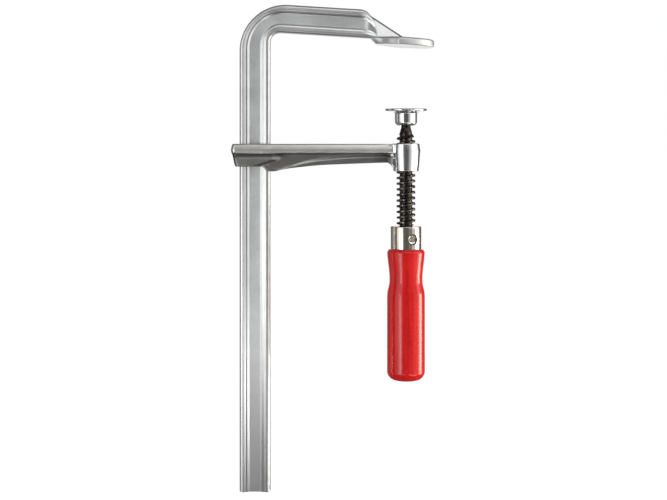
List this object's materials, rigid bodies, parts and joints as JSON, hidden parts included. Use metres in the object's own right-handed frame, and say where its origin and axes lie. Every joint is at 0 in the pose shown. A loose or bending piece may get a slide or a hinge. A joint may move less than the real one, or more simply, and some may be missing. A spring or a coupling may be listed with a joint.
{
  "type": "screw clamp",
  "caption": "Bar clamp with a profiled steel rail bent into a fixed jaw, a sliding arm with a threaded boss, a screw spindle with a swivelling pressure plate and a turned handle.",
  "frame": {"origin": "where the spindle's axis meets the face of the fixed jaw", "axes": "+Z along the spindle's axis from the handle towards the fixed jaw, +X from the rail towards the spindle, +Y across the clamp's thickness, away from the picture's camera"},
  "size_m": [0.1795, 0.046, 0.4298],
  "materials": {
    "zinc_plated_rail": "satin zinc plate over a rolled profile",
    "forged_arm": "dull forged steel, brighter on its band and boss",
    "burnished_spindle": "oiled and burnished black-brown",
    "bright_plate": "bright plated",
    "spring_wire": "drawn spring wire",
    "nickel_ferrule": "bright nickel with a warm tone",
    "pin_steel": "ground steel",
    "red_lacquered_wood": "glossy red lacquer over turned wood"
  },
  "bodies": {
    "rail": {"rail_bar": "zinc_plated_rail"},
    "arm": {"sliding_arm": "forged_arm"},
    "ring": {"retaining_ring": "spring_wire"},
    "screw": {"spindle": "burnished_spindle", "ferrule": "nickel_ferrule", "handle_pin": "pin_steel", "handle": "red_lacquered_wood"},
    "plate": {"pressure_plate": "bright_plate"}
  },
  "joints": [
    {"name": "arm_slide", "type": "slide", "parent": "rail", "child": "arm", "axis": [0, 0, 1], "range_m": [-0.28, 0.003]},
    {"name": "screw_feed", "type": "slide", "parent": "arm", "child": "ring", "axis": [0, 0, 1], "range_m": [-0.0125, 0.045]},
    {"name": "spindle_turn", "type": "hinge", "parent": "ring", "child": "screw", "pos_m": [0, 0, -0.0632], "axis": [0, 0, 1], "range_deg": [-900, 3240]},
    {"name": "plate_swivel", "type": "hinge", "parent": "ring", "child": "plate", "pos_m": [0, 0, -0.0632], "axis": [0, 1, 0], "range_deg": [-15, 15]}
  ],
  "couplings": [
    {"joint": "screw_feed", "follows": "spindle_turn", "m_per_rad": 0.00079577}
  ]
}
